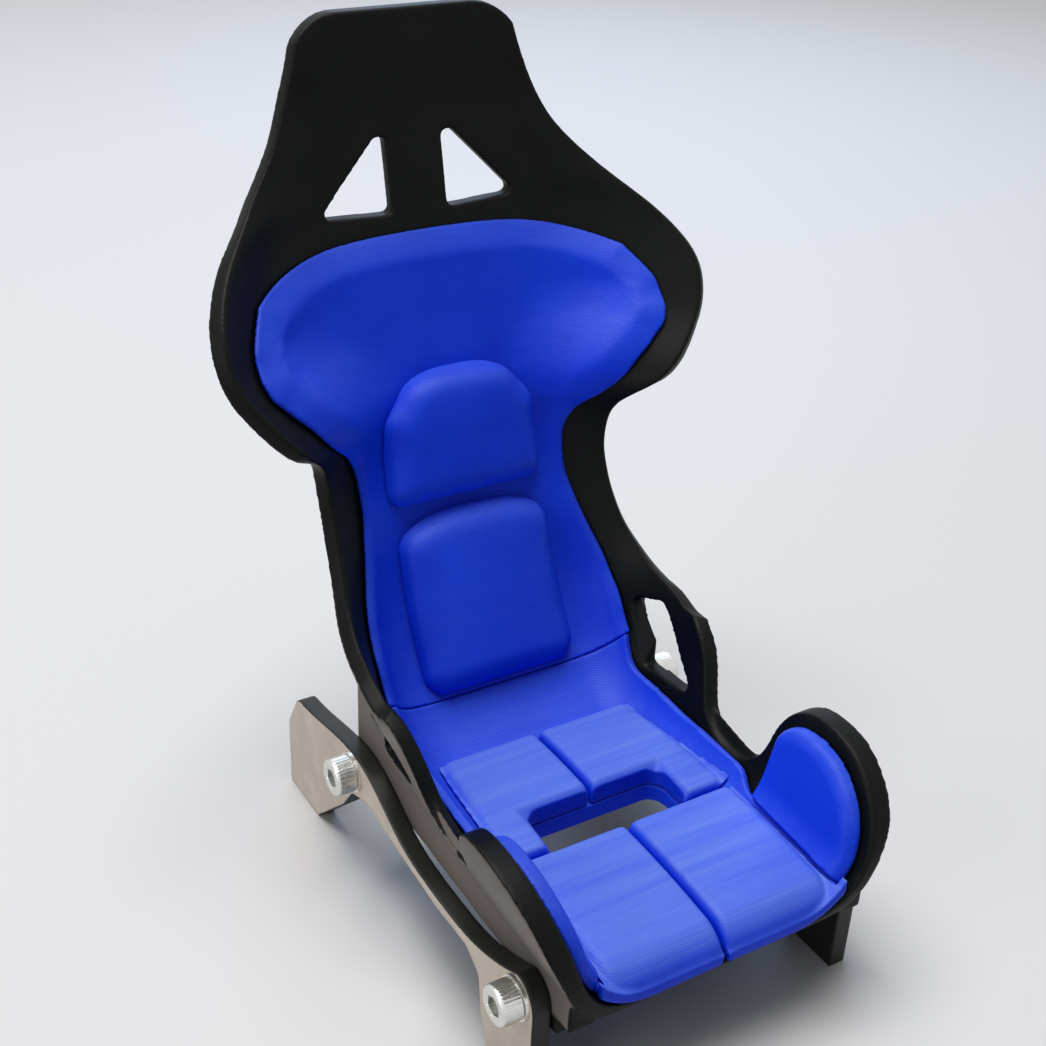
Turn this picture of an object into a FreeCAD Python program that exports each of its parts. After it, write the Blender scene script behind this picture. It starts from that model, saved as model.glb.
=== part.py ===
import FreeCAD, Part
import bisect
import math
import os
from FreeCAD import Vector

# A printed scale model of a racing bucket seat, in millimetres.
# X is across the seat, -Y is the way it faces, Z is up, and the feet stand on Z = 0.
# Heights and depths are measured from the floor and from the middle of the hip bend.
# Everything is moved at the end by depth_shift and down by floor, which puts the origin on the floor
# under the middle of the seat.

# Shell
depth_shift = -4.33
floor = 1.3
wall = 2.4
bolster_extra = 0.8
bolster_extra_reach = (6.0, 14.0)
bolster_extra_depth = (-11.0, -19.0)
row_spacing = 2.6
corner_steps = 6
head_low = 100.0
head_top = 116.3
head_half_low = 22.4
head_half_top = 15.6
head_corner = 8.0

# Spine and sections of the shell's inner face, from the head to the front of the pan. Each row has
# depth, height, tilt of the section (0 is level, 90 is upright), half width at the rim,
# reach of the rim off the spine, corner radius and side angle.
stations = [
    (48.2, 120.5, 0, 15.2, 0.6, 12, 10),
    (46.9, 112.0, 0, 16.9, 0.7, 12, 10),
    (45.9, 105.0, 0, 19.3, 0.8, 12, 10),
    (44.8, 100.0, 0, 21.8, 1.5, 14, 13),
    (43.6, 95.0, 0, 26.2, 3.6, 20, 22),
    (42.8, 91.4, 0, 30.0, 7.2, 22, 34),
    (42.1, 88.6, 0, 32.9, 9.9, 22, 40),
    (41.2, 85.5, 0, 35.3, 12.8, 23, 44),
    (40.2, 82.0, 0, 36.6, 15.1, 24, 47),
    (38.9, 78.0, 0, 36.3, 15.9, 22, 49),
    (37.6, 74.0, 0, 34.3, 16.2, 20, 50),
    (36.4, 70.5, 0, 31.5, 16.5, 19, 50),
    (35.2, 67.0, 0, 28.2, 15.4, 18, 50),
    (34.1, 64.0, 0, 25.5, 12.1, 17, 46),
    (33.0, 61.0, 0, 23.5, 8.2, 16, 40),
    (31.9, 57.5, 0, 22.7, 6.4, 14, 36),
    (30.6, 53.5, 0, 22.4, 5.6, 12, 34),
    (29.1, 49.5, 0, 22.5, 5.7, 12, 36),
    (27.6, 45.5, 0, 22.9, 6.7, 11, 40),
    (25.4, 39.5, 14, 23.8, 8.6, 10, 48),
    (23.0, 34.5, 26, 24.3, 11.0, 9, 58),
    (20.0, 29.4, 39, 24.6, 14.0, 9, 65),
    (16.3, 24.6, 52, 24.7, 16.0, 9, 69),
    (11.3, 20.6, 66, 24.6, 17.4, 9, 71),
    (5.8, 18.4, 78, 24.5, 18.8, 9, 73),
    (0.0, 17.7, 90, 24.6, 20.5, 9.5, 75),
    (-8.0, 17.5, 90, 25.2, 21.5, 10.5, 75),
    (-16.0, 17.4, 90, 25.8, 22.5, 11, 75),
    (-24.0, 17.2, 90, 26.0, 23.0, 11, 75),
    (-32.0, 16.9, 90, 26.0, 23.0, 11, 75),
    (-44.0, 16.4, 90, 25.8, 23.0, 11, 75),
]

# Side outline of the tub, depth and height: hip wing, low entry and thigh bolster
tub_outline = [
    (5.5, 37.0), (2.5, 36.4), (-0.5, 34.9), (-2.8, 32.6), (-4.6, 29.2), (-6.3, 26.0), (-9.0, 24.1),
    (-12.9, 23.4), (-16.4, 24.2), (-18.2, 26.8), (-19.0, 30.6), (-20.8, 34.0), (-24.0, 35.9),
    (-27.8, 36.3), (-31.6, 35.7), (-35.2, 34.0), (-38.4, 31.2), (-40.6, 27.2), (-41.3, 22.6),
    (-41.0, 18.6), (-40.4, 16.6), (-38.6, 14.0), (-37.2, 12.0),
]

# Openings in the shell
harness_hole = [(4.4, 89.2), (15.7, 89.8), (6.1, 99.6), (4.4, 99.6)]
harness_round = 0.8
side_hole = [(9.0, 25.3), (14.2, 34.0), (9.0, 35.4), (-2.8, 25.9)]
side_hole_round = 1.0
strap_hole_rear = -9.2
strap_hole_front = -17.5
strap_hole_half = 11.2
strap_hole_round = 2.4
slot_margin = -1.3

# Blue lining and pads, which are thickest on the shoulders
gap = 0.3
seam = 0.12
lining = 1.2
lining_front = -39.6
collar = 1.0
collar_low = 16.3
back_pad = 2.6
waist_pad = 1.5
shoulder_start = 57.0
shoulder_full = 67.0
pad_edge = 0.8
pad_roll = 3.9
waist_roll = 1.4
lumbar = 2.6
lumbar_crown = 2.3
lumbar_edge = 0.6
lumbar_roll = 3.4
lumbar_corner = 2.2
lumbar_corner_height = 3.0

# Back pad, half of it, from the top edge down: height on the spine, drop at the side, half width
back_pad_rows = [
    (86.9, 4.0, 29.0), (85.2, 4.6, 30.8), (82.6, 4.4, 32.0), (79.4, 3.5, 32.1), (75.6, 2.0, 31.3),
    (71.8, 0.6, 29.0), (68.0, 0.0, 25.8), (64.0, 0.0, 22.2), (60.5, 0.0, 19.0), (56.6, 0.0, 17.4),
    (52.0, 0.0, 17.1), (47.0, 0.0, 18.0), (42.4, 0.0, 19.2), (36.0, 0.0, 20.5), (30.0, 0.0, 20.9),
    (24.2, 0.0, 20.9),
]

# How far the seat lining climbs the side of the tub: depth on the spine, reach off it
lining_climb_rows = [(-45.0, 3.6), (-20.4, 4.0), (-16.8, 5.8), (0.0, 6.1), (5.8, 5.9), (11.2, 4.8), (16.6, 6.0)]

# Lumbar pads: lowest height, highest height in the middle, drop of the corners, half width
upper_lumbar = (50.4, 68.5, 4.0, 13.0)
lower_lumbar = (24.6, 48.9, 1.8, 12.6)

# Seat pads: rear and front ends, half widths there, height of the top at each end
rear_pad = (5.6, -16.6, 16.2, 18.4, 22.3, 22.2)
front_pad = (-17.7, -41.1, 17.9, 17.9, 22.8, 21.6)
pad_seam = 0.25
seam_roll = 1.3
outer_roll = 2.2
front_roll = 4.2
rear_roll = 1.1
joint_roll = 1.0
least_pad = 0.3
seat_crown = 0.5
lip_rear = -39.9
lip_half = 19.0
lip_round = 0.7
slot_bevel = 1.0
thigh_pad = 2.5
thigh_inset = 1.7
thigh_rear = -20.9
thigh_reach = 19.0
thigh_patch = (-20.2, -40.4)
thigh_roll = 2.4

# Side brackets
plate_inner = 23.1
plate = 2.8
rear_bolt = (12.9, 19.3)
front_bolt = (-33.1, 17.2)
bracket_outline_points = [
    (36.3, 1.3), (36.3, 12.7), (32.4, 19.5), (17.1, 22.0), (11.2, 22.2), (6.2, 20.8), (-1.9, 17.2),
    (-12.2, 16.0), (-21.2, 16.4), (-28.1, 18.4), (-32.7, 20.6),
]
front_foot_edge = -36.7
front_foot_corner = 4.0
arch_points = [
    (27.4, -4.0), (26.0, 1.3), (16.4, 10.6), (13.4, 14.8), (8.4, 16.6), (-1.5, 15.2), (-12.0, 14.2),
    (-20.4, 14.4), (-23.6, 12.2), (-24.4, 6.4), (-26.6, 1.3), (-28.0, -4.0),
]
arch_round = 1.6
rear_foot_round = 2.6

# M3 fasteners
screw_radius = 1.5
screw_length = 8.0
head_radius = 2.75
head_height = 3.0
socket_flats = 2.5
socket_depth = 1.6
washer_outer = 3.0
washer_inner = 1.6
washer_thickness = 0.5
nut_flats = 5.5
nut_thickness = 2.4
clearance_radius = 1.65
boss_inner = 17.8
boss_half = 4.5
boss_end = 0.3
boss_below = 4.0
nut_seat = 19.8

# Rails that fill the corner between the underside of the tub and the brackets
rail_marks = [-40.2, -36.0, -30.0, -22.0, -14.0, -6.0, 0.0, 4.0, 8.0, 11.0]
rail_inner = 19.2
rail_below = 0.9


def smooth_table(xs, ys):
    """Monotone cubic through the values, so that nothing overshoots between stations."""
    n = len(xs)
    slopes = [(ys[i + 1] - ys[i]) / (xs[i + 1] - xs[i]) for i in range(n - 1)]
    tangents = [slopes[0]]
    for i in range(1, n - 1):
        if slopes[i - 1] * slopes[i] <= 0:
            tangents.append(0.0)
        else:
            before = xs[i] - xs[i - 1]
            after = xs[i + 1] - xs[i]
            w1 = 2 * after + before
            w2 = after + 2 * before
            tangents.append((w1 + w2) / (w1 / slopes[i - 1] + w2 / slopes[i]))
    tangents.append(slopes[-1])

    def value(x):
        i = min(max(bisect.bisect_right(xs, x) - 1, 0), n - 2)
        width = xs[i + 1] - xs[i]
        t = min(max((x - xs[i]) / width, 0.0), 1.0)
        a = (1 + 2 * t) * (1 - t) ** 2 * ys[i]
        b = t * (1 - t) ** 2 * width * tangents[i]
        c = t * t * (3 - 2 * t) * ys[i + 1]
        d = t * t * (t - 1) * width * tangents[i + 1]
        return a + b + c + d
    return value


# Distance along the spine at each station
spine_marks = [0.0]
for before, after in zip(stations[:-1], stations[1:]):
    spine_marks.append(spine_marks[-1] + math.hypot(after[0] - before[0], after[1] - before[1]))
spine_end = spine_marks[-1]
columns = [smooth_table(spine_marks, [float(row[k]) for row in stations]) for k in range(7)]


class Section:
    """Half of the shell's inner outline at one place along the spine: flat, corner arc, straight side."""

    def __init__(self, along):
        self.depth, self.height, tilt, self.width, self.reach, self.radius, angle = [c(along) for c in columns]
        self.tilt = math.radians(tilt)
        self.angle = math.radians(angle)
        rise = self.radius * (1 - math.cos(self.angle))
        self.side = max((self.reach - rise) / math.sin(self.angle), 0.0)
        self.flat = self.width - self.radius * math.sin(self.angle) - self.side * math.cos(self.angle)
        self.arc = self.radius * self.angle
        self.length = self.flat + self.arc + self.side

    def flat_point(self, run):
        """Across and off the spine, at a run measured along the outline from the middle."""
        sign = -1 if run < 0 else 1
        run = abs(run)
        if run <= self.flat:
            return sign * run, 0.0
        if run <= self.flat + self.arc:
            turn = (run - self.flat) / self.radius
            return sign * (self.flat + self.radius * math.sin(turn)), self.radius * (1 - math.cos(turn))
        side = run - self.flat - self.arc
        across = self.flat + self.radius * math.sin(self.angle) + side * math.cos(self.angle)
        return sign * across, self.radius * (1 - math.cos(self.angle)) + side * math.sin(self.angle)

    def run_at_width(self, width):
        if width <= self.flat:
            return width
        if width <= self.flat + self.radius * math.sin(self.angle):
            return self.flat + self.radius * math.asin((width - self.flat) / self.radius)
        side = (width - self.flat - self.radius * math.sin(self.angle)) / math.cos(self.angle)
        return self.flat + self.arc + side

    def run_at_reach(self, reach):
        if reach <= self.radius * (1 - math.cos(self.angle)):
            return self.flat + self.radius * math.acos(1 - reach / self.radius)
        return self.flat + self.arc + (reach - self.radius * (1 - math.cos(self.angle))) / math.sin(self.angle)

    def point(self, run):
        across, off = self.flat_point(run)
        return Vector(across, self.depth - off * math.cos(self.tilt), self.height + off * math.sin(self.tilt))


def off_shell(along, run, lift):
    """A point lifted square off the shell's inner face, towards the sitter."""
    step = 0.2
    low = max(along - step, 0.0)
    high = min(along + step, spine_end)
    down = Section(high).point(run).sub(Section(low).point(run))
    here = Section(along)
    over = here.point(run + step).sub(here.point(run - step))
    square = down.cross(over)
    square.normalize()
    return here.point(run).add(square.multiply(lift))


def along_at_height(height):
    """Where the spine passes a height, on the back."""
    low = 0.0
    high = spine_marks[25]
    for _ in range(40):
        middle = (low + high) / 2
        if columns[1](middle) > height:
            low = middle
        else:
            high = middle
    return low


def along_at_depth(depth):
    """Where the spine passes a depth, on the pan."""
    low = 0.0
    high = spine_end
    for _ in range(40):
        middle = (low + high) / 2
        if columns[0](middle) > depth:
            low = middle
        else:
            high = middle
    return low


def height_over(across, depth, lift):
    """Height of the face that lies a lift off the shell, at a place in the plan view."""
    aim_across = across
    aim_depth = depth
    for _ in range(8):
        along = along_at_depth(aim_depth)
        here = off_shell(along, Section(along).run_at_width(aim_across), lift)
        aim_across += across - here.x
        aim_depth += depth - here.y
    return here.z


def spread(count, ends=0.0):
    """Fractions from 0 to 1, drawn towards both ends."""
    plain = [i / (count - 1) for i in range(count)]
    return [(1 - ends) * t + ends * (1 - math.cos(math.pi * t)) / 2 for t in plain]


def both_ways(count, ends):
    """Numbers from -1 to 1, drawn towards both ends."""
    return [2 * t - 1 for t in spread(count, ends)]


def drawn_out(line):
    """Control points that carry a smooth curve back out to the points of a line."""
    inner = []
    for before, here, after in zip(line[:-2], line[1:-1], line[2:]):
        inner.append(here * (4 / 3) - (before + after) * (1 / 6))
    return [line[0]] + inner + [line[-1]]


def smooth_surface(points):
    """A smooth surface that follows a net of points without waves between them."""
    rows = [drawn_out(row) for row in points]
    grid = list(zip(*[drawn_out(column) for column in zip(*rows)]))
    sizes = [len(grid), len(grid[0])]
    ends = [[4] + [1] * (size - 4) + [4] for size in sizes]
    knots = [[float(i) for i in range(size - 2)] for size in sizes]
    surface = Part.BSplineSurface()
    surface.buildFromPolesMultsKnots(grid, ends[0], ends[1], knots[0], knots[1], False, False, 3, 3)
    return surface


def solid_between(low_grid, high_grid):
    """A closed solid between two matching grids of points, with ruled sides."""
    low = smooth_surface(low_grid)
    high = smooth_surface(high_grid)
    faces = [low.toShape(), high.toShape()]
    u0, u1, v0, v1 = low.bounds()
    a0, a1, b0, b1 = high.bounds()
    pairs = [
        (low.uIso(u0), high.uIso(a0)),
        (low.uIso(u1), high.uIso(a1)),
        (low.vIso(v0), high.vIso(b0)),
        (low.vIso(v1), high.vIso(b1)),
    ]
    for first, second in pairs:
        faces.append(Part.makeRuledSurface(first.toShape(), second.toShape()))
    skin = Part.makeShell(faces)
    skin.sewShape()
    body = Part.makeSolid(skin)
    if body.Volume < 0:
        body.reverse()
    return body


def rounded_outline(points, radius, make):
    """A closed wire through corners, each rounded by an arc, with make placing a flat pair in space."""
    edges = []
    count = len(points)
    starts = []
    for i in range(count):
        here = Vector(points[i][0], points[i][1], 0)
        before = Vector(points[i - 1][0], points[i - 1][1], 0).sub(here)
        after = Vector(points[(i + 1) % count][0], points[(i + 1) % count][1], 0).sub(here)
        before.normalize()
        after.normalize()
        half = math.acos(max(-1, min(1, before.dot(after)))) / 2
        cut = radius / math.tan(half)
        middle = before.add(after)
        middle.normalize()
        touch = here.add(middle.multiply(radius / math.sin(half) - radius))
        starts.append((here.add(Vector(before).multiply(cut)), touch, here.add(Vector(after).multiply(cut))))
    for i in range(count):
        first, touch, last = starts[i]
        places = [make(p.x, p.y) for p in (first, touch, last, starts[(i + 1) % count][0])]
        edges.append(Part.Arc(*places[:3]).toShape())
        edges.append(Part.LineSegment(places[2], places[3]).toShape())
    return Part.Wire(edges)


def bar_across(wire, low, high):
    """The space inside a side view outline, between two places across the seat."""
    face = Part.Face(wire)
    face.translate(Vector(low, 0, 0))
    return face.extrude(Vector(high - low, 0, 0))


def cylinder_across(low, high, radius, depth, height):
    return Part.makeCylinder(radius, high - low, Vector(low, depth, height), Vector(1, 0, 0))


def mirrored(shape):
    return shape.mirror(Vector(0, 0, 0), Vector(1, 0, 0))


def write(name, shape):
    shape = shape.copy()
    shape.translate(Vector(0, depth_shift, -floor))
    box = shape.optimalBoundingBox()
    print(name, "solids", len(shape.Solids), "valid", shape.isValid(), "volume", round(shape.Volume, 1),
          "box", round(box.XMin, 2), round(box.YMin, 2), round(box.ZMin, 2),
          round(box.XMax, 2), round(box.YMax, 2), round(box.ZMax, 2))
    shape.exportStep("parts/" + name + ".step")


def feature_runs(section, steps):
    """Runs from one rim to the other, with the same number of steps on each flat, corner and side."""
    half = [section.flat * i / steps for i in range(steps)]
    half += [section.flat + section.arc * i / steps for i in range(steps)]
    half += [section.flat + section.arc + section.side * i / steps for i in range(steps + 1)]
    return [-run for run in reversed(half[1:])] + half


def wall_at(section, run):
    """Wall thickness, which grows towards the rims of the thigh bolsters."""
    rear, front = bolster_extra_depth
    along_seat = between(-section.depth, -rear, -front)
    return wall + bolster_extra * along_seat * between(section.flat_point(run)[1], *bolster_extra_reach)


def shell_grid(first, last, share):
    """Points on the shell at a share of its wall: 0 on the inner face, 1 on the outer one."""
    rows = max(int((last - first) / row_spacing), 4)
    grid = []
    for t in spread(rows):
        along = first + t * (last - first)
        section = Section(along)
        runs = feature_runs(section, corner_steps)
        grid.append([off_shell(along, run, -share * wall_at(section, run)) for run in runs])
    return grid


def side_view(depth, height):
    return Vector(0, depth, height)


def front_view(across, height):
    return Vector(across, 0, height)


def top_view(across, depth):
    return Vector(across, depth, 0)


def tub_cutter():
    """Everything above and in front of the tub's side outline."""
    points = [side_view(*p) for p in tub_outline]
    curve = Part.BSplineCurve()
    curve.interpolate(points)
    corners = [points[-1], side_view(-41.0, 0), side_view(-70, 0), side_view(-70, 70), side_view(9, 70),
               side_view(9, 38.5), points[0]]
    edges = [curve.toShape()]
    for before, after in zip(corners[:-1], corners[1:]):
        edges.append(Part.LineSegment(before, after).toShape())
    return bar_across(Part.Wire(edges), -50, 50)


def head_cutter():
    """Everything outside the head's front outline, above head_low."""
    block = Part.makeBox(80, 40, 30, Vector(-40, 30, head_low))
    corners = [(-head_half_low, head_low), (-head_half_top, head_top), (head_half_top, head_top),
               (head_half_low, head_low)]
    inside = Part.makePolygon([front_view(*p) for p in corners + corners[:1]])
    inside = Part.Face(inside)
    inside.translate(Vector(0, 20, 0))
    inside = inside.extrude(Vector(0, 60, 0))
    top_edges = [e for e in inside.Edges if abs(e.Vertexes[0].X - e.Vertexes[-1].X) < 1e-6
                 and abs(e.Vertexes[0].Z - head_top) < 1e-6 and abs(e.Vertexes[-1].Z - head_top) < 1e-6]
    return block.cut(inside.makeFillet(head_corner, top_edges))


def strap_cutter(margin, low, high):
    half = strap_hole_half - margin
    corners = [(-half, strap_hole_front + margin), (half, strap_hole_front + margin),
               (half, strap_hole_rear - margin), (-half, strap_hole_rear - margin)]
    face = Part.Face(rounded_outline(corners, strap_hole_round, top_view))
    face.translate(Vector(0, 0, low))
    return face.extrude(Vector(0, 0, high - low))


def make_bare_shell():
    body = solid_between(shell_grid(0, spine_end, 0.0), shell_grid(0, spine_end, 1.0))
    return body.cut(tub_cutter()).cut(head_cutter())


def make_boss(bolt):
    """A block under the shell that runs up into the middle of its wall."""
    depth, height = bolt
    outer = plate_inner - 0.05
    plan = [(boss_inner, depth - boss_half), (outer, depth - boss_half), (outer, depth + boss_half),
            (boss_inner, depth + boss_half)]
    low = [Vector(x, y, height - boss_below) for x, y in plan]
    high = [Vector(x, y, height_over(x, y, -wall / 2)) for x, y in plan]
    faces = [low, [high[0], high[1], high[2]], [high[0], high[2], high[3]]]
    for i in range(4):
        j = (i + 1) % 4
        faces.append([low[i], low[j], high[j], high[i]])
    skin = Part.makeShell([Part.Face(Part.makePolygon(ring + ring[:1])) for ring in faces])
    body = Part.makeSolid(skin)
    if body.Volume < 0:
        body.reverse()
    return body


def make_rail():
    """A rail along the underside of the tub, from the front edge to the hips, beside the bracket."""
    outer = plate_inner - 0.05
    rings = []
    for depth in rail_marks:
        low = height_over(rail_inner, depth, -wall) - rail_below
        rings.append([Vector(rail_inner, depth, low), Vector(outer, depth, low),
                      Vector(outer, depth, height_over(outer, depth, -wall / 2)),
                      Vector(rail_inner, depth, height_over(rail_inner, depth, -wall / 2))])
    faces = [rings[0], list(reversed(rings[-1]))]
    for near, far in zip(rings[:-1], rings[1:]):
        for i in range(4):
            j = (i + 1) % 4
            faces.append([near[i], near[j], far[j]])
            faces.append([near[i], far[j], far[i]])
    skin = Part.makeShell([Part.Face(Part.makePolygon(ring + ring[:1])) for ring in faces])
    body = Part.makeSolid(skin)
    if body.Volume < 0:
        body.reverse()
    return body


def nut_slot(bolt):
    depth, height = bolt
    half = nut_flats / math.sqrt(3) + 0.1
    return Part.makeBox(nut_thickness + 0.1, 2 * half, boss_below + nut_flats / 2 + 0.1,
                        Vector(nut_seat - 0.05, depth - half, height - boss_below))


def make_shell():
    rail = make_rail()
    body = make_bare_shell().fuse(rail).fuse(mirrored(rail))
    hole = Part.Face(rounded_outline(harness_hole, harness_round, front_view))
    hole.translate(Vector(0, 30, 0))
    hole = hole.extrude(Vector(0, 30, 0))
    side = bar_across(rounded_outline(side_hole, side_hole_round, side_view), 14, 40)
    for cutter in (hole, side):
        body = body.cut(cutter).cut(mirrored(cutter))
    body = body.cut(strap_cutter(slot_margin, 5, 25))
    for bolt in (rear_bolt, front_bolt):
        boss = make_boss(bolt)
        tools = [nut_slot(bolt), cylinder_across(boss_inner + boss_end, 24, clearance_radius, *bolt)]
        for piece in (boss, mirrored(boss)):
            body = body.fuse(piece)
        for tool in tools:
            body = body.cut(tool).cut(mirrored(tool))
    return body


def line_distance(point, line):
    """Least distance from a point to a run of short straight lines."""
    least = 1e9
    for a, b in zip(line[:-1], line[1:]):
        ab = b.sub(a)
        t = min(max(point.sub(a).dot(ab) / max(ab.dot(ab), 1e-9), 0.0), 1.0)
        least = min(least, point.sub(a.add(ab.multiply(t))).Length)
    return least


def rolled(distance, edge, full, roll, bevel=0.0):
    """Thickness near a rolled edge: edge at the outline, full once it is the roll away. A bevel of 1 makes
    the edge a soft slope in place of a round."""
    if distance >= roll:
        return full
    left = 1 - distance / roll
    return edge + (full - edge) * ((1 - bevel) * math.sqrt(1 - left ** 2) + bevel * (1 - left ** 1.3))


def between(value, low, high):
    t = min(max((value - low) / (high - low), 0.0), 1.0)
    return t * t * (3 - 2 * t)


def on_back(across, height):
    """Place on the shell's inner face as along and run, from across and height on the spine."""
    along = along_at_height(height)
    run = Section(along).run_at_width(abs(across))
    return along, math.copysign(run, across)


def back_pad_thickness(height):
    return waist_pad + (back_pad - waist_pad) * between(height, shoulder_start, shoulder_full)


def back_pad_roll(height):
    return waist_roll + (pad_roll - waist_roll) * between(height, shoulder_start, shoulder_full)


def raised_pad(places, rims, base, full, edge, roll, crown=0.0, bevel=lambda height: 0.0):
    """A pad over a grid of places on the shell. The rims name the sides of the grid with a rolled edge,
    base, full, roll and bevel give the pad's underside, thickness and edge from the height, and crown is
    how much thicker the middle is."""
    ground = [[off_shell(along, run, 0.0) for along, run in line] for line in places]
    sides = {
        "first": ground[0],
        "last": ground[-1],
        "left": [line[0] for line in ground],
        "right": [line[-1] for line in ground],
    }
    low = []
    high = []
    for i, (line, grounds) in enumerate(zip(places, ground)):
        low_row = []
        high_row = []
        for j, ((along, run), here) in enumerate(zip(line, grounds)):
            height = columns[1](along)
            distance = min(line_distance(here, sides[name]) for name in rims)
            bottom = base(height)
            swell = (1 - (2 * i / (len(places) - 1) - 1) ** 2) * (1 - (2 * j / (len(line) - 1) - 1) ** 2)
            top = rolled(distance, edge, full(height), roll(height), bevel(height)) + crown * swell
            low_row.append(off_shell(along, run, bottom + gap))
            high_row.append(off_shell(along, run, bottom + top))
        low.append(low_row)
        high.append(high_row)
    return solid_between(low, high)


def make_back_pad():
    marks = [float(i) for i in range(len(back_pad_rows))]
    heights, drops, halves = [smooth_table(marks, [row[k] for row in back_pad_rows]) for k in range(3)]
    places = []
    for t in spread(58, 0.35):
        row = t * marks[-1]
        line = []
        for q in both_ways(45, 0.55):
            line.append(on_back(q * halves(row), heights(row) - drops(row) * abs(q) ** 2.6))
        places.append(line)
    return raised_pad(places, ["first", "left", "right"], lambda height: 0.0, back_pad_thickness, pad_edge,
                      back_pad_roll, 0.0, lambda height: between(height, shoulder_start, shoulder_full))


def make_lumbar(low_end, high_end, drop, half):
    places = []
    for t in spread(32, 0.75):
        from_end = min(t, 1 - t) * (high_end - low_end)
        width = half - lumbar_corner * max(1 - from_end / lumbar_corner_height, 0.0) ** 2
        line = []
        for q in both_ways(31, 0.6):
            top = high_end - drop * abs(q) ** 3
            line.append(on_back(q * width, low_end + (1 - t) * (top - low_end)))
        places.append(line)
    return raised_pad(places, ["first", "last", "left", "right"], back_pad_thickness, lambda height: lumbar,
                      lumbar_edge, lambda height: lumbar_roll, lumbar_crown)


lining_climb = smooth_table([row[0] for row in lining_climb_rows], [row[1] for row in lining_climb_rows])


def make_seat_lining():
    first = along_at_height(back_pad_rows[-1][0]) + seam
    last = along_at_depth(lining_front)
    low = []
    high = []
    for t in spread(40):
        along = first + t * (last - first)
        section = Section(along)
        reach = section.run_at_reach(lining_climb(section.depth))
        runs = [reach * (2 * q - 1) for q in spread(41, 0.3)]
        low.append([off_shell(along, run, gap) for run in runs])
        high.append([off_shell(along, run, gap + lining) for run in runs])
    body = solid_between(low, high)
    low_face = strap_cutter(-collar, collar_low, height_over(0, strap_hole_rear, gap + lining / 2))
    return body.fuse(low_face).cut(strap_cutter(0, 5, 30))


def make_lip():
    """The front of a seat pad, where it comes down over the front of the lining to the pan."""
    base = gap + lining + gap
    grids = []
    for depth in (lip_rear, front_pad[1] + 0.02):
        grid = []
        for t in spread(12, 0.8):
            row = []
            for q in spread(14, 0.6):
                across = 2 * pad_seam + q * (lip_half - 2 * pad_seam)
                low = height_over(across, lip_rear, gap)
                high = height_over(across, front_pad[1], base) + least_pad / 2
                back = max(lip_round - t * (high - low), 0.0) if depth < lip_rear else 0.0
                sink = lip_round - math.sqrt(lip_round ** 2 - back ** 2)
                row.append(Vector(across, depth + sink, low + t * (high - low)))
            grid.append(row)
        grids.append(grid)
    return solid_between(*grids)


def slot_distance(across, depth):
    """How far a place on a seat pad is from the strap hole."""
    past_side = max(abs(across) - strap_hole_half, 0.0)
    past_end = max(depth - strap_hole_rear, strap_hole_front - depth, 0.0)
    return math.hypot(past_side, past_end)


def make_seat_pad(rear, front, rear_half, front_half, rear_top, front_top, nose):
    """One of a pair of seat pads, on the right."""
    low = []
    high = []
    length = rear - front
    base = gap + lining + gap
    for t in spread(44, 0.5):
        depth = rear - t * length
        half = rear_half + (front_half - rear_half) * t
        low_row = []
        high_row = []
        for q in spread(34, 0.5):
            across = pad_seam + q * (half - pad_seam)
            bottom = height_over(across, depth, base)
            top = rear_top + (front_top - rear_top) * t + seat_crown * (1 - (2 * t - 1) ** 2)
            top -= seam_roll - rolled(across - pad_seam, 0, seam_roll, seam_roll)
            top -= outer_roll - rolled(half - across, 0, outer_roll, outer_roll)
            top -= nose - rolled(depth - front, 0, nose, nose)
            top -= rear_roll - rolled(rear - depth, 0, rear_roll, rear_roll)
            top -= slot_bevel - rolled(slot_distance(across, depth), 0, slot_bevel, slot_bevel)
            low_row.append(Vector(across, depth, bottom))
            high_row.append(Vector(across, depth, max(top, bottom + least_pad)))
        low.append(low_row)
        high.append(high_row)
    return solid_between(low, high).cut(strap_cutter(0, 5, 30))


def thigh_outline():
    """The edge of a thigh pad in the side view, an even inset inside the bolster's outline."""
    curve = Part.BSplineCurve()
    curve.interpolate([side_view(*p) for p in tub_outline])
    first, last = curve.FirstParameter, curve.LastParameter
    edge = []
    for t in spread(90):
        value = first + t * (last - first)
        tangent = curve.tangent(value)[0]
        here = curve.value(value)
        inner = side_view(here.y - thigh_inset * tangent.z, here.z + thigh_inset * tangent.y)
        if inner.y <= thigh_rear and here.y < thigh_rear + 2 * thigh_inset:
            edge.append(inner)
    return [side_view(thigh_rear, edge[0].z - 1.0)] + edge


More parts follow.
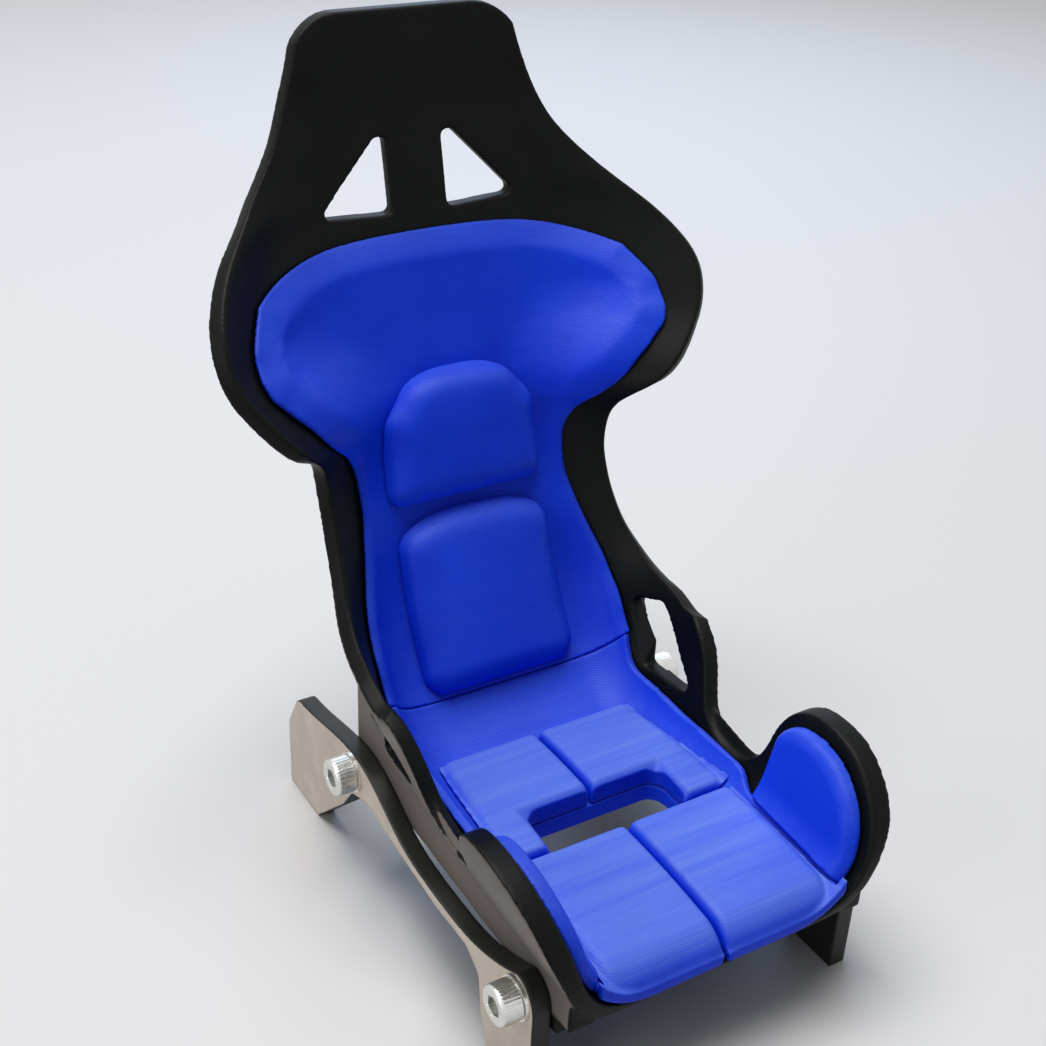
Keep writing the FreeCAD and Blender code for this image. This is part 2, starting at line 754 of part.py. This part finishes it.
def make_thigh_pad():
    """The pad inside the right bolster: a thick patch on the shell, cut to its outline."""
    edge = thigh_outline()
    curve = Part.BSplineCurve()
    curve.interpolate(edge)
    corners = [edge[-1], side_view(edge[-1].y, 10), side_view(thigh_rear, 10), edge[0]]
    edges = [curve.toShape()]
    for before, after in zip(corners[:-1], corners[1:]):
        edges.append(Part.LineSegment(before, after).toShape())
    inside = bar_across(Part.Wire(edges), 10, 40)
    rim = [side_view(thigh_rear, 10)] + edge
    rear, front = thigh_patch
    low = []
    high = []
    for t in spread(44):
        depth = rear + t * (front - rear)
        along = along_at_depth(depth)
        section = Section(along)
        start = section.run_at_reach(lining_climb(depth)) + seam
        end = section.run_at_reach(thigh_reach)
        low_row = []
        high_row = []
        for q in spread(36):
            run = start + q * (end - start)
            low_row.append(off_shell(along, run, gap))
            here = low_row[-1]
            flat = side_view(here.y, here.z)
            outside = here.y > thigh_rear or not inside.isInside(Vector(20, here.y, here.z), 1e-6, True)
            distance = 0.0 if outside else line_distance(flat, rim)
            high_row.append(off_shell(along, run, rolled(distance, pad_edge, thigh_pad, thigh_roll)))
        low.append(low_row)
        high.append(high_row)
    return solid_between(low, high).common(inside)


def make_bracket():
    points = [side_view(*p) for p in bracket_outline_points]
    curve = Part.BSplineCurve()
    curve.interpolate(points[2:])
    crest = points[-1]
    corner = front_foot_corner
    turn = 1 - math.sqrt(0.5)
    corner_middle = side_view(front_foot_edge + corner * turn, crest.z - corner * turn)
    corner_end = side_view(front_foot_edge, crest.z - corner)
    toe = side_view(front_foot_edge, floor)
    edges = [
        Part.LineSegment(points[0], points[1]).toShape(),
        Part.LineSegment(points[1], points[2]).toShape(),
        curve.toShape(),
        Part.Arc(crest, corner_middle, corner_end).toShape(),
        Part.LineSegment(corner_end, toe).toShape(),
        Part.LineSegment(toe, points[0]).toShape(),
    ]
    body = bar_across(Part.Wire(edges), plate_inner, plate_inner + plate)
    arch = rounded_outline(arch_points, arch_round, side_view)
    body = body.cut(bar_across(arch, plate_inner - 1, plate_inner + plate + 1))
    for bolt in (rear_bolt, front_bolt):
        body = body.cut(cylinder_across(plate_inner - 1, plate_inner + plate + 1, clearance_radius, *bolt))
    heel = [e for e in body.Edges if e.BoundBox.XLength > plate - 0.01
            and any(abs(e.BoundBox.YMax - p[0]) < 0.01 and abs(e.BoundBox.ZMax - p[1]) < 0.01
                    for p in bracket_outline_points[1:3])]
    return body.makeFillet(rear_foot_round, heel)


def hexagon(flats, low, high, depth, height):
    """A six sided bar across the seat, with flats above and below."""
    radius = flats / math.sqrt(3)
    corners = [side_view(depth + radius * math.cos(math.radians(60 * k)),
                         height + radius * math.sin(math.radians(60 * k))) for k in range(6)]
    return bar_across(Part.makePolygon(corners + corners[:1]), low, high)


def make_washer(bolt):
    face = plate_inner + plate
    body = cylinder_across(face, face + washer_thickness, washer_outer, *bolt)
    return body.cut(cylinder_across(face - 1, face + 2, washer_inner, *bolt))


def make_screw(bolt):
    seat = plate_inner + plate + washer_thickness
    head = cylinder_across(seat, seat + head_height, head_radius, *bolt)
    top_edge = [e for e in head.Edges if abs(e.BoundBox.XMin - seat - head_height) < 1e-3
                and abs(e.BoundBox.XMax - seat - head_height) < 1e-3]
    head = head.makeFillet(0.35, top_edge)
    shank = cylinder_across(seat - screw_length, seat, screw_radius, *bolt)
    end = [e for e in shank.Edges if abs(e.BoundBox.XMax - seat + screw_length) < 1e-3]
    shank = shank.makeChamfer(0.3, end)
    socket = hexagon(socket_flats, seat + head_height - socket_depth, seat + head_height + 1, *bolt)
    return head.fuse(shank).cut(socket)


def make_nut(bolt):
    body = hexagon(nut_flats, nut_seat, nut_seat + nut_thickness, *bolt)
    return body.cut(cylinder_across(nut_seat - 1, nut_seat + nut_thickness + 1, screw_radius + 0.02, *bolt))


os.makedirs("parts", exist_ok=True)
write("seat_shell", make_shell())
write("back_pad", make_back_pad())
write("upper_lumbar_pad", make_lumbar(*upper_lumbar))
write("lower_lumbar_pad", make_lumbar(*lower_lumbar))
write("seat_lining", make_seat_lining())
pairs = {
    "rear_seat_pad": make_seat_pad(*rear_pad, joint_roll),
    "front_seat_pad": make_seat_pad(*front_pad, front_roll).fuse(make_lip()),
    "thigh_pad": make_thigh_pad(),
    "side_bracket": make_bracket(),
}
for end, bolt in (("rear", rear_bolt), ("front", front_bolt)):
    pairs[end + "_cap_screw"] = make_screw(bolt)
    pairs[end + "_washer"] = make_washer(bolt)
    pairs[end + "_nut"] = make_nut(bolt)
for name, shape in pairs.items():
    write(name + "_right", shape)
    write(name + "_left", mirrored(shape))
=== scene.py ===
import math
import bmesh
import bpy
from mathutils import Euler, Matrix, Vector


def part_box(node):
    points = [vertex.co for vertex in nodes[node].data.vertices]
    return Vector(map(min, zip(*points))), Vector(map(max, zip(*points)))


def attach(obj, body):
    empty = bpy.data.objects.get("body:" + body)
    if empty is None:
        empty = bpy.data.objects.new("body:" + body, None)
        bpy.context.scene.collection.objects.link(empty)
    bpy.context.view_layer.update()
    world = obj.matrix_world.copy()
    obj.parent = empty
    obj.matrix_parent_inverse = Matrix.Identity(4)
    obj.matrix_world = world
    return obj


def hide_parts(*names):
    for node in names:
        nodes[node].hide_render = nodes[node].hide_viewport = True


# Printed scale model of a racing bucket seat.
# Everything is in metres, with the feet on Z = 0 and the seat facing -Y.

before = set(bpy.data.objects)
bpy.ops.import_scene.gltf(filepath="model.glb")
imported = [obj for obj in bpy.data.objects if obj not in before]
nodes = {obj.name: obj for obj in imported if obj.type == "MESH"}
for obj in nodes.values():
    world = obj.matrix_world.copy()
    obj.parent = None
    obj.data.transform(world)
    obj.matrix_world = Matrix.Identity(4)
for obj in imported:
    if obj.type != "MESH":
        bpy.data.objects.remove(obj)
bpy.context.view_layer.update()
mm = 0.001
collection = bpy.context.scene.collection
print("frame loaded,", len(nodes), "nodes")


# Camera and light

camera = {
    "place": (-101.06, -153.72, 161.88),  # mm
    "turn": (60.097, -2.200, -30.852),  # degrees
    "lens": 54.51,
    "sensor": 36.0,
    "nearest": 0.01,  # metres
}

lamps = {
    # name: place in mm, aim in mm, size in mm, watts, colour
    "overheadBox": ((-80, 150, 1014), (0, 0, 30), 720, 10.5, "#FFFCF7"),
    "leftBox": ((-864, -144, 420), (0, 0, 60), 576, 1.8, "#FFFFFF"),
    "backBox": ((300, 440, 340), (0, 0, 30), 300, 0.6, "#B4D2FF"),
}

surroundings = {
    "background": "#F0F1F3",
    "skyLight": "#F2F5FA",
    "skyStrength": 0.10,
    "floor": "#DCDDE0",
    "floorSize": 6.0,  # metres
    "floorRoughness": 0.65,
}


# Helpers

# sRGB hex to the linear colour that a shader takes
def linear(hexColour):
    parts = [int(hexColour[i:i + 2], 16) / 255 for i in (1, 3, 5)]
    return [c / 12.92 if c <= 0.04045 else ((c + 0.055) / 1.055) ** 2.4 for c in parts] + [1.0]


def addNode(tree, kind, settings=None, links=None):
    node = tree.nodes.new("ShaderNode" + kind)
    for name, value in (settings or {}).items():
        if isinstance(name, str) and hasattr(node, name):
            setattr(node, name, value)
        else:
            node.inputs[name].default_value = value
    for name, source in (links or {}).items():
        tree.links.new(source, node.inputs[name])
    return node


def startMaterial(name):
    material = bpy.data.materials.new(name)
    material.use_nodes = True
    tree = material.node_tree
    tree.nodes.clear()
    return material, tree


# a colour between two, each with its place on the value's range
def blendColours(tree, value, stops):
    ramp = addNode(tree, "ValToRGB", links={"Fac": value})
    for element, (position, hexColour) in zip(ramp.color_ramp.elements, stops):
        element.position = position
        element.color = linear(hexColour)
    return ramp.outputs["Color"]


def multiply(tree, first, second):
    return addNode(tree, "Math", {"operation": "MULTIPLY"}, {0: first, 1: second}).outputs[0]


# a value's range, given as its two ends, spread over 0 to 1 or over two other ends
def spreadRange(tree, value, ends, onto=(0.0, 1.0)):
    settings = {"From Min": ends[0], "From Max": ends[1], "To Min": onto[0], "To Max": onto[1]}
    return addNode(tree, "MapRange", settings, {"Value": value}).outputs["Result"]


def closeMaterial(material, tree, settings, links):
    shader = addNode(tree, "BsdfPrincipled", settings, links)
    addNode(tree, "OutputMaterial", links={"Surface": shader.outputs[0]})
    return material


def finishPiece(name, mesh, material, replaced):
    piece = bpy.data.objects.new(name, mesh)
    collection.objects.link(piece)
    mesh.materials.clear()
    mesh.materials.append(material)
    for face in mesh.polygons:
        face.use_smooth = True
    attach(piece, "root")
    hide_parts(replaced)
    return piece


remeshing = {
    "weld": 0.001,  # mm
    "smoothing": 0.5,
    "mostTriangles": 190000,
}


# a mesh like the node's in small even faces, with its edges rounded off as a printer leaves them
def evenCopy(nodeName, voxel, rounding):
    source = bpy.data.objects.new("source", nodes[nodeName].data.copy())
    collection.objects.link(source)
    bm = bmesh.new()
    bm.from_mesh(source.data)
    bmesh.ops.remove_doubles(bm, verts=bm.verts, dist=remeshing["weld"] * mm)
    bm.to_mesh(source.data)
    bm.free()
    remesh = source.modifiers.new("evenFaces", "REMESH")
    remesh.mode = "VOXEL"
    remesh.voxel_size = voxel * mm
    smooth = source.modifiers.new("roundEdges", "SMOOTH")
    smooth.factor = remeshing["smoothing"]
    smooth.iterations = rounding
    triangles = 2 * len(readModified(source).polygons)
    if triangles > remeshing["mostTriangles"]:
        thin = source.modifiers.new("thinOut", "DECIMATE")
        thin.ratio = remeshing["mostTriangles"] / triangles
    mesh = readModified(source)
    bpy.data.objects.remove(source)
    return mesh


def readModified(source):
    bpy.context.view_layer.update()
    return bpy.data.meshes.new_from_object(source.evaluated_get(bpy.context.evaluated_depsgraph_get()))


# Materials

printLines = {
    # spacing and depth in mm, given and not measured; waver in layers, grain as a noise scale
    "shell": {"spacing": 0.30, "depth": 0.05, "strength": 0.30,
              "waver": 0.35, "streaks": 0.0, "grain": 900.0},
    "pads": {"spacing": 0.26, "depth": 0.07, "strength": 0.55,
             "waver": 0.10, "streaks": 0.35, "grain": 700.0},
    "waverScale": 60.0,
    "beadShape": 3.0,
    "beadScale": (60.0, 1800.0, 1800.0),
    "skinDepth": 0.05,
    "skinStrength": 0.10,
}

# how squarely a face looks out to the side before it takes the pale painted reflection
sidewaysRange = (0.80, 0.93)


# printed layers stacked along Z, each with a rounded edge, over a faint uneven skin
def layerBump(tree, look):
    coords = addNode(tree, "TexCoord").outputs["Object"]
    place = addNode(tree, "SeparateXYZ", links={"Vector": coords})
    waver = addNode(tree, "TexNoise", {"Scale": printLines["waverScale"], "Detail": 2.0}, {"Vector": coords})
    shift = addNode(tree, "Math", {"operation": "MULTIPLY", 1: look["waver"]}, {0: waver.outputs["Fac"]})
    count = addNode(tree, "Math", {"operation": "MULTIPLY_ADD", 1: 1 / (look["spacing"] * mm)},
                    {0: place.outputs["Z"], 2: shift.outputs[0]})
    part = addNode(tree, "Math", {"operation": "FRACT"}, {0: count.outputs[0]})
    bead = addNode(tree, "Math", {"operation": "POWER", 1: printLines["beadShape"]}, {0: part.outputs[0]})
    layers = addNode(tree, "Bump", {"Strength": look["strength"], "Distance": look["depth"] * mm},
                     {"Height": bead.outputs[0]})
    layers.invert = True
    skin = addNode(tree, "TexNoise", {"Scale": look["grain"], "Detail": 4.0, "Roughness": 0.6},
                   {"Vector": coords})
    # the beads on top run across the seat
    along = addNode(tree, "Mapping", {"Scale": printLines["beadScale"]}, {"Vector": coords})
    beads = addNode(tree, "TexNoise", {"Scale": 1.0, "Detail": 1.0}, {"Vector": along.outputs["Vector"]})
    streaks = addNode(tree, "Bump", {"Strength": look["streaks"], "Distance": printLines["skinDepth"] * mm},
                      {"Height": beads.outputs["Fac"], "Normal": layers.outputs["Normal"]})
    uneven = addNode(tree, "Bump", {"Strength": printLines["skinStrength"],
                                    "Distance": printLines["skinDepth"] * mm},
                     {"Height": skin.outputs["Fac"], "Normal": streaks.outputs["Normal"]})
    return coords, uneven.outputs["Normal"]


# how far a face looks straight out to the side, 0 to 1
def sideways(tree):
    coords = addNode(tree, "TexCoord")
    facing = addNode(tree, "SeparateXYZ", links={"Vector": coords.outputs["Normal"]})
    place = addNode(tree, "SeparateXYZ", links={"Vector": coords.outputs["Object"]})
    side = addNode(tree, "Math", {"operation": "SIGN"}, {0: place.outputs["X"]})
    outward = multiply(tree, facing.outputs["X"], side.outputs[0])
    return spreadRange(tree, outward, sidewaysRange)


shellLook = {
    "patchScale": 120.0,
    "colours": ((0.35, "#030504"), (0.70, "#090B0A")),
    # pale colour of the painted reflection on the lower flanks
    "flankSheen": "#706964",
    "flankTop": (0.044, 0.030),  # metres, from none to full
    "flankFoot": (0.0145, 0.0155),
    "roughness": (0.36, 0.50),
    "surface": {"IOR": 1.50, "Specular IOR Level": 0.12},
}


def makeBlackPetg():
    # black PETG filament, printed: satin, with fine layer lines that catch the light on rims
    material, tree = startMaterial("blackPetgPrint")
    coords, normal = layerBump(tree, printLines["shell"])
    patches = addNode(tree, "TexNoise", {"Scale": shellLook["patchScale"], "Detail": 5.0}, {"Vector": coords})
    colour = blendColours(tree, patches.outputs["Fac"], shellLook["colours"])
    # painted reflection: the lower outward flanks of the tub are paler, standing in for light reflected off
    # them
    side = sideways(tree)
    height = addNode(tree, "SeparateXYZ", links={"Vector": coords}).outputs["Z"]
    low = spreadRange(tree, height, shellLook["flankTop"])
    high = spreadRange(tree, height, shellLook["flankFoot"])
    flankSheen = multiply(tree, side, multiply(tree, high, low))
    pale = addNode(tree, "Mix", {"data_type": "RGBA", 7: linear(shellLook["flankSheen"])}, {0: flankSheen, 6: colour})
    gloss = spreadRange(tree, patches.outputs["Fac"], (0.0, 1.0), shellLook["roughness"])
    return closeMaterial(material, tree, shellLook["surface"],
                         {"Base Color": pale.outputs[2], "Roughness": gloss, "Normal": normal})


bracketLook = {
    "sheenMottleScale": 160.0,
    # pale mottled colour of the painted reflection on the outer face
    "face": ((0.30, "#B4A89C"), (0.70, "#CDC1B4")),
    "edge": "#171815",
    "roughness": (0.42, 0.30),
    "surface": {"IOR": 1.50, "Specular IOR Level": 0.3},
}


def makeBracketPetg():
    # the same black PETG, printed flat: its outer face is smooth, with a pale mottled painted reflection, its
    # edges show layers
    material, tree = startMaterial("blackPetgSheenFace")
    coords, normal = layerBump(tree, printLines["shell"])
    side = sideways(tree)
    sheenMottle = addNode(tree, "TexNoise", {"Scale": bracketLook["sheenMottleScale"], "Detail": 6.0, "Roughness": 0.7},
                     {"Vector": coords})
    face = blendColours(tree, sheenMottle.outputs["Fac"], bracketLook["face"])
    colour = addNode(tree, "Mix", {"data_type": "RGBA", 6: linear(bracketLook["edge"])}, {0: side, 7: face})
    gloss = spreadRange(tree, side, (0.0, 1.0), bracketLook["roughness"])
    return closeMaterial(material, tree, bracketLook["surface"],
                         {"Base Color": colour.outputs[2], "Roughness": gloss, "Normal": normal})


padLook = {
    "patchScale": 80.0,
    "colours": ((0.30, "#0A36DC"), (0.75, "#1244EC")),
    # the pale top colour is partly the print's top skin and partly a painted sheen
    "topSkinAndSheen": "#6482E6",
    "topRange": (0.15, 1.05),  # the upward share of a face's direction
    "streakScale": (18.0, 420.0, 420.0),
    "streakRange": (0.3, 0.7),
    "streakLeast": 0.55,
    "roughness": (0.34, 0.46),
    "surface": {"IOR": 1.46, "Specular IOR Level": 0.15},
    "softTopSheen": 0.35,  # how pale the top skin and its painted sheen get on the back and sides, and on the seat
    "seatTopSheen": 1.0,
}


def makeBluePla(name, palest):
    # blue PLA filament, printed: soft satin, deep colour, layer lines that read as contours on flat tops
    material, tree = startMaterial(name)
    coords, normal = layerBump(tree, printLines["pads"])
    patches = addNode(tree, "TexNoise", {"Scale": padLook["patchScale"], "Detail": 4.0}, {"Vector": coords})
    colour = blendColours(tree, patches.outputs["Fac"], padLook["colours"])
    # upward faces are paler than the walls, partly from their top skin and partly from a painted sheen that
    # stands in for light reflected off the tops; streaked where the beads lie side by side
    facing = addNode(tree, "SeparateXYZ", links={"Vector": addNode(tree, "TexCoord").outputs["Normal"]})
    upward = addNode(tree, "MapRange",
                     {"interpolation_type": "SMOOTHSTEP", "From Min": padLook["topRange"][0],
                      "From Max": padLook["topRange"][1]}, {"Value": facing.outputs["Z"]})
    along = addNode(tree, "Mapping", {"Scale": padLook["streakScale"]}, {"Vector": coords})
    streak = addNode(tree, "TexNoise", {"Scale": 1.0, "Detail": 3.0, "Roughness": 0.7},
                     {"Vector": along.outputs["Vector"]})
    share = spreadRange(tree, streak.outputs["Fac"], padLook["streakRange"],
                        (padLook["streakLeast"] * palest, palest))
    sheenAndStreaks = multiply(tree, upward.outputs["Result"], share)
    skin = addNode(tree, "Mix", {"data_type": "RGBA", 7: linear(padLook["topSkinAndSheen"])},
                   {0: sheenAndStreaks, 6: colour})
    gloss = spreadRange(tree, patches.outputs["Fac"], (0.0, 1.0), padLook["roughness"])
    return closeMaterial(material, tree, padLook["surface"],
                         {"Base Color": skin.outputs[2], "Roughness": gloss, "Normal": normal})


steelLook = {
    "blotchScale": 900.0,
    "colours": ((0.0, "#CFCFCB"), (1.0, "#E9E8E3")),
    "roughness": (0.20, 0.34),
    "depth": 0.02,  # mm
    "strength": 0.06,
}


def makeZincSteel():
    # zinc plated steel: bright and slightly blotchy
    material, tree = startMaterial("zincPlatedSteel")
    coords = addNode(tree, "TexCoord").outputs["Object"]
    blotch = addNode(tree, "TexNoise", {"Scale": steelLook["blotchScale"], "Detail": 3.0}, {"Vector": coords})
    colour = blendColours(tree, blotch.outputs["Fac"], steelLook["colours"])
    gloss = spreadRange(tree, blotch.outputs["Fac"], (0.0, 1.0), steelLook["roughness"])
    bump = addNode(tree, "Bump", {"Strength": steelLook["strength"], "Distance": steelLook["depth"] * mm},
                   {"Height": blotch.outputs["Fac"]})
    return closeMaterial(material, tree, {"Metallic": 1.0},
                         {"Base Color": colour, "Roughness": gloss, "Normal": bump.outputs["Normal"]})


blackPetg = makeBlackPetg()
bracketPetg = makeBracketPetg()
bluePla = makeBluePla("bluePlaPrint", padLook["softTopSheen"])
# the seat pads take the full painted sheen on their tops
bluePlaTop = makeBluePla("bluePlaTopSkinAndSheen", padLook["seatTopSheen"])
zincSteel = makeZincSteel()
print("materials made")


# Shell

shell = {
    "voxel": 0.26,  # mm
    "rounding": 16,
}

shellMesh = evenCopy("seat_shell", shell["voxel"], shell["rounding"])
finishPiece("bucketShell", shellMesh, blackPetg, "seat_shell")
print("shell made,", len(shellMesh.polygons), "faces")


# Pads and lining

pads = {
    # name: node, voxel in mm, rounding
    "backPad": ("back_pad", 0.23, 5),
    "upperLumbarPad": ("upper_lumbar_pad", 0.20, 8),
    "lowerLumbarPad": ("lower_lumbar_pad", 0.20, 8),
    "seatLining": ("seat_lining", 0.26, 3),
    "rearSeatPadRight": ("rear_seat_pad_right", 0.22, 4),
    "rearSeatPadLeft": ("rear_seat_pad_left", 0.22, 4),
    "frontSeatPadRight": ("front_seat_pad_right", 0.22, 4),
    "frontSeatPadLeft": ("front_seat_pad_left", 0.22, 4),
    "thighPadRight": ("thigh_pad_right", 0.22, 4),
    "thighPadLeft": ("thigh_pad_left", 0.22, 4),
}

for pieceName, (nodeName, voxel, rounding) in pads.items():
    padMesh = evenCopy(nodeName, voxel, rounding)
    blue = bluePlaTop if "_seat_" in nodeName else bluePla
    finishPiece(pieceName, padMesh, blue, nodeName)
    print(pieceName, "made,", len(padMesh.polygons), "faces")


# Side brackets

bracket = {"voxel": 0.20, "rounding": 6}

for side in ("right", "left"):
    nodeName = "side_bracket_" + side
    bracketMesh = evenCopy(nodeName, bracket["voxel"], bracket["rounding"])
    finishPiece("sideBracket" + side.title(), bracketMesh, bracketPetg, nodeName)
print("brackets made")


# Cap screws

capScrew = {
    "length": 8.0,  # mm
    "shank": 1.5,
    "tipBevel": 0.3,
    "head": 2.75,
    "headHeight": 3.0,
    # the head's lower edge: height over the bearing face, inset from its radius
    "lowerEdge": ((0.0, 0.2), (0.15, 0.02)),
    # its upper edge: drop from the top, inset
    "upperEdge": ((0.48, 0.03), (0.22, 0.10), (0.06, 0.26), (0.0, 0.50)),
    "knurlFrom": 0.30,
    "knurlEnd": 0.62,  # below the top
    "teeth": 36,
    "toothDepth": 0.06,
    "vertsPerTooth": 4,
    "socketFlats": 2.5,
    "socketDepth": 1.6,
    "socketCone": 0.5,
    "mouthWidth": 1.26,  # of the flats
    "mouthDepth": 0.16,
    "weld": 0.002,
    "sharpOver": 38,  # degrees
}


# rings along a screw: height over the head's bearing face, radius, and what shapes it
def screwRings():
    s = capScrew
    top = s["headHeight"]
    floorOfSocket = top - s["socketDepth"]
    inner = s["socketFlats"] / 2
    rings = [(-s["length"], 0.0, "round"), (-s["length"], s["shank"] - s["tipBevel"], "round"),
             (s["tipBevel"] - s["length"], s["shank"], "round"), (0.0, s["shank"], "round")]
    rings += [(height, s["head"] - inset, "round") for height, inset in s["lowerEdge"]]
    rings += [(s["knurlFrom"], s["head"], "teeth"), (top - s["knurlEnd"], s["head"], "teeth")]
    rings += [(top - drop, s["head"] - inset, "round") for drop, inset in s["upperEdge"]]
    rings += [(top, inner * s["mouthWidth"], "round"), (top - s["mouthDepth"], inner, "hexagon"),
              (floorOfSocket, inner, "hexagon"), (floorOfSocket - s["socketCone"], 0.0, "round")]
    return rings


# a socket head cap screw along X, with its head's bearing face at seatX
def makeCapScrew(seatX, bolt, outward):
    rings = screwRings()
    around = capScrew["teeth"] * capScrew["vertsPerTooth"]
    bm = bmesh.new()
    bmesh.ops.create_grid(bm, x_segments=around, y_segments=len(rings) - 1, size=1.0)
    bm.verts.ensure_lookup_table()
    for index, vert in enumerate(bm.verts):
        ring, step = divmod(index, around + 1)
        height, radius, kind = rings[ring]
        angle = 2 * math.pi * step / around
        if kind == "teeth" and step % capScrew["vertsPerTooth"] in (0, 1):
            radius -= capScrew["toothDepth"]
        if kind == "hexagon":
            radius /= math.cos((angle + math.pi / 6) % (math.pi / 3) - math.pi / 6)
        vert.co = Vector(((seatX + outward * height) * mm,
                          bolt[0] + radius * math.cos(angle) * mm,
                          bolt[1] + radius * math.sin(angle) * mm))
    bmesh.ops.remove_doubles(bm, verts=bm.verts, dist=capScrew["weld"] * mm)
    bmesh.ops.recalc_face_normals(bm, faces=bm.faces)
    mesh = bpy.data.meshes.new("capScrew")
    bm.to_mesh(mesh)
    bm.free()
    return mesh


for end in ("rear", "front"):
    for side, outward in (("right", 1), ("left", -1)):
        nodeName = end + "_cap_screw_" + side
        low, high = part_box(nodeName)
        washerLow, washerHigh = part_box(end + "_washer_" + side)
        seatX = (washerHigh.x if outward > 0 else washerLow.x) / mm
        bolt = ((low.y + high.y) / 2, (low.z + high.z) / 2)
        screwMesh = makeCapScrew(seatX, bolt, outward)
        finishPiece(end + "CapScrew" + side.title(), screwMesh, zincSteel, nodeName)
        screwMesh.set_sharp_from_angle(angle=math.radians(capScrew["sharpOver"]))
        for kept in ("_washer_", "_nut_"):
            nodes[end + kept + side].data.materials.clear()
            nodes[end + kept + side].data.materials.append(zincSteel)
print("fasteners made")


# Stage

bm = bmesh.new()
bmesh.ops.create_grid(bm, x_segments=1, y_segments=1, size=surroundings["floorSize"] / 2)
floorMesh = bpy.data.meshes.new("floor")
bm.to_mesh(floorMesh)
bm.free()
floor = bpy.data.objects.new("floor", floorMesh)
collection.objects.link(floor)
floorMaterial, tree = startMaterial("paleTable")
closeMaterial(floorMaterial, tree, {"Base Color": linear(surroundings["floor"]),
                                    "Roughness": surroundings["floorRoughness"]}, {})
floorMesh.materials.append(floorMaterial)

world = bpy.data.worlds.new("studio")
world.use_nodes = True
tree = world.node_tree
tree.nodes.clear()
rays = addNode(tree, "LightPath")
sky = addNode(tree, "Background", {"Color": linear(surroundings["skyLight"]),
                                   "Strength": surroundings["skyStrength"]})
backdrop = addNode(tree, "Background", {"Color": linear(surroundings["background"]), "Strength": 1.0})
seen = addNode(tree, "Math", {"operation": "MAXIMUM"},
               {0: rays.outputs["Is Camera Ray"], 1: rays.outputs["Is Glossy Ray"]})
seen = addNode(tree, "Math", {"operation": "MAXIMUM"},
               {0: seen.outputs[0], 1: rays.outputs["Is Transmission Ray"]})
mix = addNode(tree, "MixShader", links={0: seen.outputs[0], 1: sky.outputs[0], 2: backdrop.outputs[0]})
addNode(tree, "OutputWorld", links={"Surface": mix.outputs[0]})
bpy.context.scene.world = world

for name, (place, aim, size, watts, colour) in lamps.items():
    light = bpy.data.lights.new(name, "AREA")
    light.shape = "SQUARE"
    light.size = size * mm
    light.energy = watts
    light.color = linear(colour)[:3]
    lamp = bpy.data.objects.new(name, light)
    collection.objects.link(lamp)
    lamp.location = Vector(place) * mm
    lamp.rotation_euler = (Vector(aim) - Vector(place)).to_track_quat("-Z", "Y").to_euler()

cameraData = bpy.data.cameras.new("photoView")
cameraData.lens = camera["lens"]
cameraData.sensor_width = camera["sensor"]
cameraData.clip_start = camera["nearest"]
cameraObject = bpy.data.objects.new("photoView", cameraData)
collection.objects.link(cameraObject)
cameraObject.location = Vector(camera["place"]) * mm
cameraObject.rotation_euler = Euler([math.radians(a) for a in camera["turn"]])
bpy.context.scene.camera = cameraObject
bpy.context.scene.view_settings.view_transform = "Standard"
print("stage, lights and camera set")
